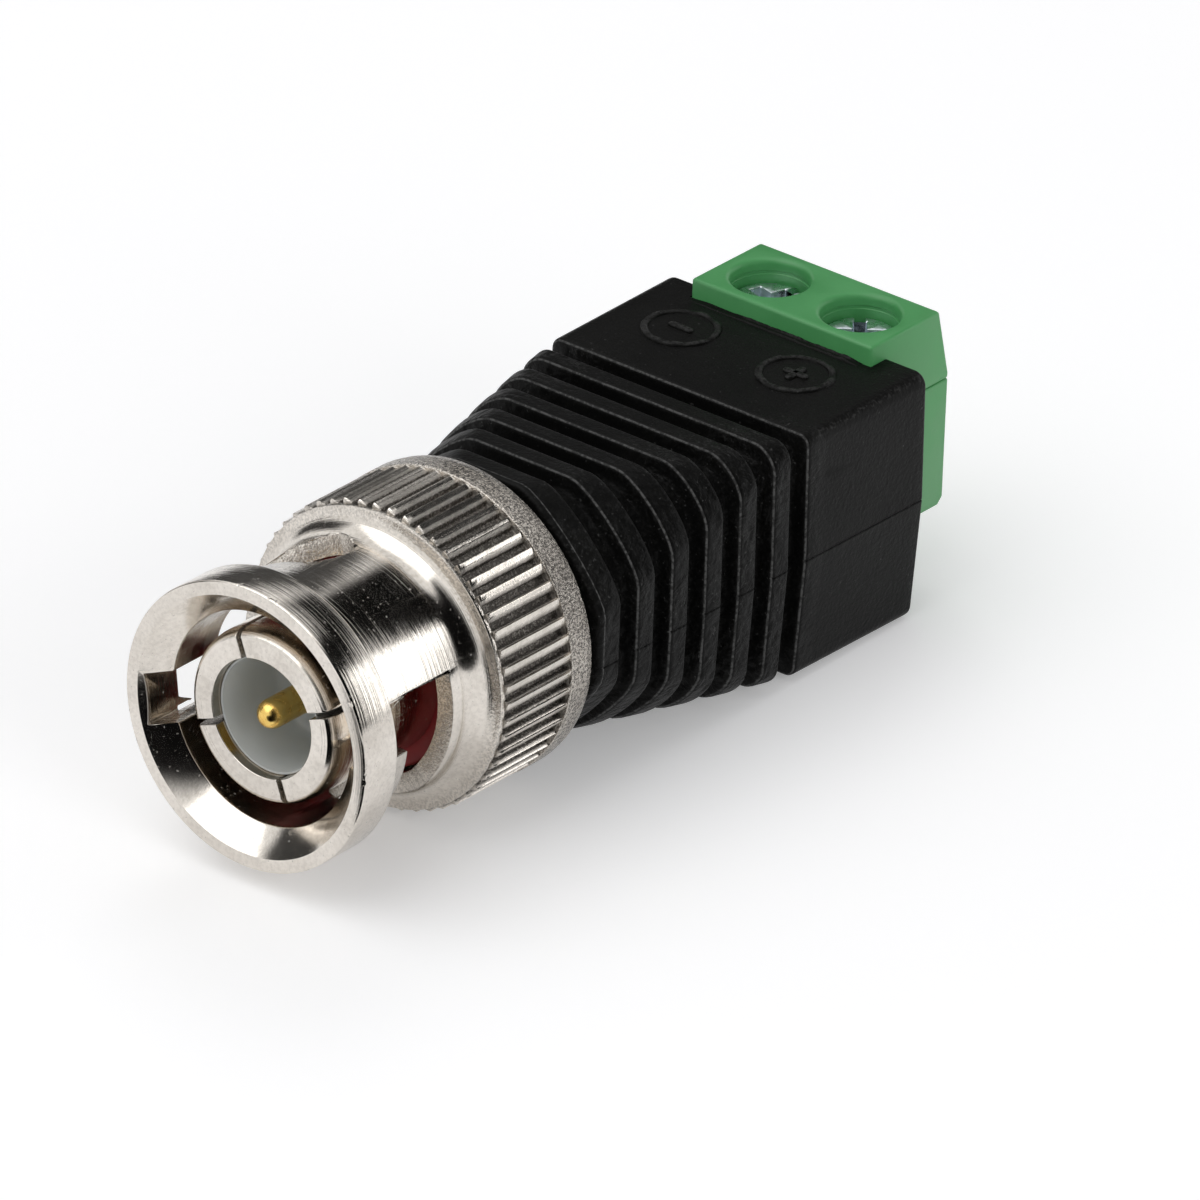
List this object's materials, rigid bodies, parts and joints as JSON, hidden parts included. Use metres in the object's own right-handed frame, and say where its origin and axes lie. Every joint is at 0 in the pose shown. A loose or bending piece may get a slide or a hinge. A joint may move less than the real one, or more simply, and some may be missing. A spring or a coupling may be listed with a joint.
{
  "type": "coaxial plug to screw terminal adapter",
  "caption": "Bayonet coaxial plug with a slotted outer contact and turning knurled nut, moulded in one ribbed black body with a green two-way screw terminal block.",
  "frame": {"origin": "on the plug's axis, in the plane of the coupling nut's front face", "axes": "-Y points out of the plug's mating face, +Y towards the screw terminals, +Z to the side from which the screws are turned, +X towards the plus terminal"},
  "size_m": [0.0148, 0.0421, 0.0144],
  "materials": {
    "nickel_plate": "bright nickel plating on brass, polished neck and sand-textured knurl band",
    "spring_steel": "plain spring steel",
    "red_silicone": "soft deep red silicone",
    "gold_plate": "polished gold plating",
    "white_insulator": "smooth white plastic",
    "black_moulding": "black moulded plastic with a fine grain",
    "green_housing": "satin green polyamide",
    "zinc_screw": "bluish zinc plating",
    "plated_cage": "nickel-plated steel",
    "tinned_strip": "tinned brass strip",
    "link_wire": "tinned copper wire"
  },
  "bodies": {
    "adapter_body": {"moulded_body": "black_moulding", "plug_body": "nickel_plate", "gasket": "red_silicone", "wave_spring": "spring_steel", "centre_pin": "gold_plate", "front_insulator": "white_insulator", "rear_insulator": "white_insulator", "terminal_cover": "green_housing", "terminal_base": "green_housing", "contact_strip_minus": "tinned_strip", "contact_strip_plus": "tinned_strip", "centre_link_wire": "link_wire", "ground_link_wire": "link_wire"},
    "nut_carrier": {"thrust_washer": "spring_steel"},
    "coupling": {"coupling_nut": "nickel_plate", "retaining_ring": "spring_steel"},
    "screw_minus": {"terminal_screw_minus": "zinc_screw"},
    "screw_plus": {"terminal_screw_plus": "zinc_screw"},
    "cage_minus": {"clamp_cage_minus": "plated_cage"},
    "cage_plus": {"clamp_cage_plus": "plated_cage"}
  },
  "joints": [
    {"name": "coupling_float", "type": "slide", "parent": "adapter_body", "child": "nut_carrier", "axis": [0, -1, 0], "range_m": [0, 0.0005], "stiffness_N_per_m": 400, "deforming": ["wave_spring"]},
    {"name": "coupling_turn", "type": "hinge", "parent": "nut_carrier", "child": "coupling", "pos_m": [0, 0.011, 0], "axis": [0, 1, 0], "continuous": true},
    {"name": "screw_minus_turn", "type": "hinge", "parent": "adapter_body", "child": "screw_minus", "pos_m": [-0.00254, 0.03884, 0.003], "axis": [0, 0, -1], "range_deg": [0, 1296.5]},
    {"name": "screw_plus_turn", "type": "hinge", "parent": "adapter_body", "child": "screw_plus", "pos_m": [0.00254, 0.03884, 0.003], "axis": [0, 0, -1], "range_deg": [0, 1296.5]},
    {"name": "cage_minus_rise", "type": "slide", "parent": "adapter_body", "child": "cage_minus", "axis": [0, 0, 1], "range_m": [0, 0.0018]},
    {"name": "cage_plus_rise", "type": "slide", "parent": "adapter_body", "child": "cage_plus", "axis": [0, 0, 1], "range_m": [0, 0.0018]}
  ],
  "couplings": [
    {"joint": "screw_minus_turn", "follows": "cage_minus_rise", "rad_per_m": 12566},
    {"joint": "screw_plus_turn", "follows": "cage_plus_rise", "rad_per_m": 12566}
  ]
}
